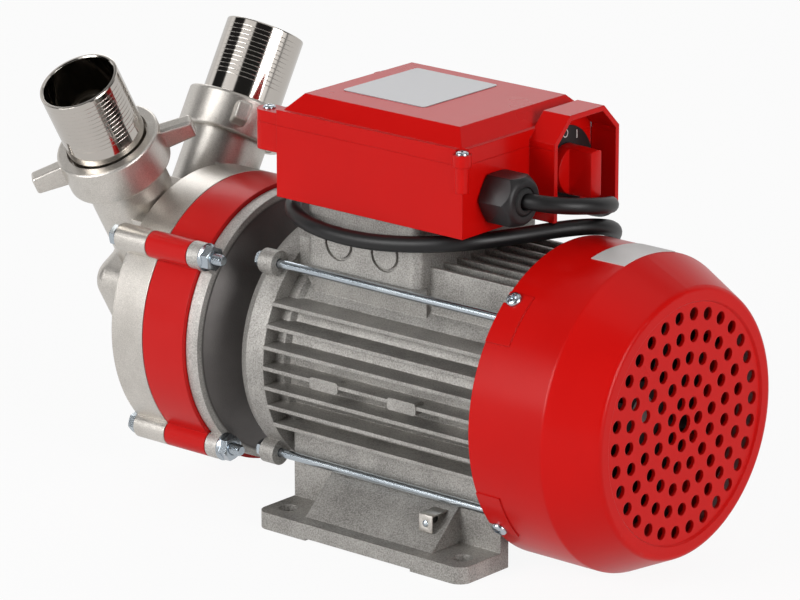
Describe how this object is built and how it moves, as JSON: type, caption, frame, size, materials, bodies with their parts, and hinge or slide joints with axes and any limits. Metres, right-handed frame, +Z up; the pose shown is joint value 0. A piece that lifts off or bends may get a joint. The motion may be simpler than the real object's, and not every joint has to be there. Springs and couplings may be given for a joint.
{
  "type": "electric transfer pump",
  "caption": "Close-coupled electric transfer pump with a finned motor on a foot, twin threaded ports with hose tails, terminal box with rotary switch, fan cover and a coiled mains lead.",
  "frame": {"origin": "centre of the foot's four-bolt pattern, on the floor plane", "axes": "+X along the shaft towards the fan cover, +Y to the side of the switch, +Z up"},
  "size_m": [0.3657, 0.2847, 0.2179],
  "materials": {
    "cast_frame": "raw die casting, fine grain",
    "bracket_casting": "smooth dull casting",
    "nickel_casting": "nickel plated casting, satin",
    "red_casting": "gloss red paint",
    "polished_tube": "mirror polished",
    "zinc_fastener": "zinc plated",
    "red_plastic": "gloss red",
    "black_plastic": "satin black",
    "plate_silver": "bare silver plate",
    "label_white": "blank pale label",
    "cable_rubber": "black rubber sheath",
    "contact_brass": "brass",
    "ground_steel": "ground steel",
    "lamination_steel": "varnished laminations",
    "copper_winding": "varnished copper",
    "impeller_brass": "machined",
    "seal_rubber": "black rubber",
    "seal_ceramic": "ceramic white",
    "gasket_fibre": "fibre sheet",
    "capacitor_shell": "white plastic"
  },
  "bodies": {
    "pump_frame": {"motor_housing": "cast_frame", "motor_foot": "cast_frame", "front_shield": "cast_frame", "rear_shield": "cast_frame", "pump_bracket": "bracket_casting", "front_casing": "nickel_casting", "pump_ring": "red_casting", "left_hose_tail": "polished_tube", "right_hose_tail": "polished_tube", "tie_rods": "zinc_fastener", "tie_rod_nuts": "zinc_fastener", "cover_screws": "zinc_fastener", "pump_bolts": "zinc_fastener", "bolt_washers": "zinc_fastener", "pump_nuts": "zinc_fastener", "lid_screws": "zinc_fastener", "earth_tab": "zinc_fastener", "earth_screw": "zinc_fastener", "fan_cover": "red_plastic", "terminal_box": "red_plastic", "box_lid": "red_plastic", "switch_dial": "black_plastic", "gland_body": "black_plastic", "gland_nut": "black_plastic", "gland_lock_nut": "black_plastic", "switch_body": "black_plastic", "coil_tie": "black_plastic", "name_plate": "plate_silver", "cover_label": "label_white", "cord_lead": "cable_rubber", "cord_coil": "cable_rubber", "cord_tail": "cable_rubber", "plug": "cable_rubber", "plug_pins": "contact_brass", "front_bearing": "ground_steel", "rear_bearing": "ground_steel", "bearing_spring": "ground_steel", "stator_core": "lamination_steel", "stator_windings": "copper_winding", "box_gasket": "seal_rubber", "seal_seat": "seal_ceramic", "casing_gaskets": "gasket_fibre", "port_gaskets": "gasket_fibre", "run_capacitor": "capacitor_shell", "terminal_block": "capacitor_shell"},
    "rotor": {"rotor_shaft": "ground_steel", "rotor_core": "lamination_steel", "cooling_fan": "black_plastic", "fan_key": "ground_steel", "impeller": "impeller_brass", "impeller_key": "ground_steel", "impeller_clip": "ground_steel", "seal_head": "seal_rubber", "slinger": "seal_rubber"},
    "switch_knob": {"switch_knob": "red_plastic"},
    "left_union": {"left_union_nut": "nickel_casting"},
    "right_union": {"right_union_nut": "nickel_casting"}
  },
  "joints": [
    {"name": "rotor_spin", "type": "hinge", "parent": "pump_frame", "child": "rotor", "pos_m": [0, 0, 0.08], "axis": [1, 0, 0], "continuous": true},
    {"name": "switch_turn", "type": "hinge", "parent": "pump_frame", "child": "switch_knob", "pos_m": [0.0457, 0.0265, 0.1845], "axis": [-1, 0, 0], "range_deg": [0, 30]},
    {"name": "left_union_turn", "type": "hinge", "parent": "pump_frame", "child": "left_union", "pos_m": [-0.189, -0.0456, 0.16448], "axis": [0, -0.5, 0.866], "continuous": true},
    {"name": "right_union_turn", "type": "hinge", "parent": "pump_frame", "child": "right_union", "pos_m": [-0.189, 0.0456, 0.16448], "axis": [0, 0.5, 0.866], "continuous": true}
  ]
}
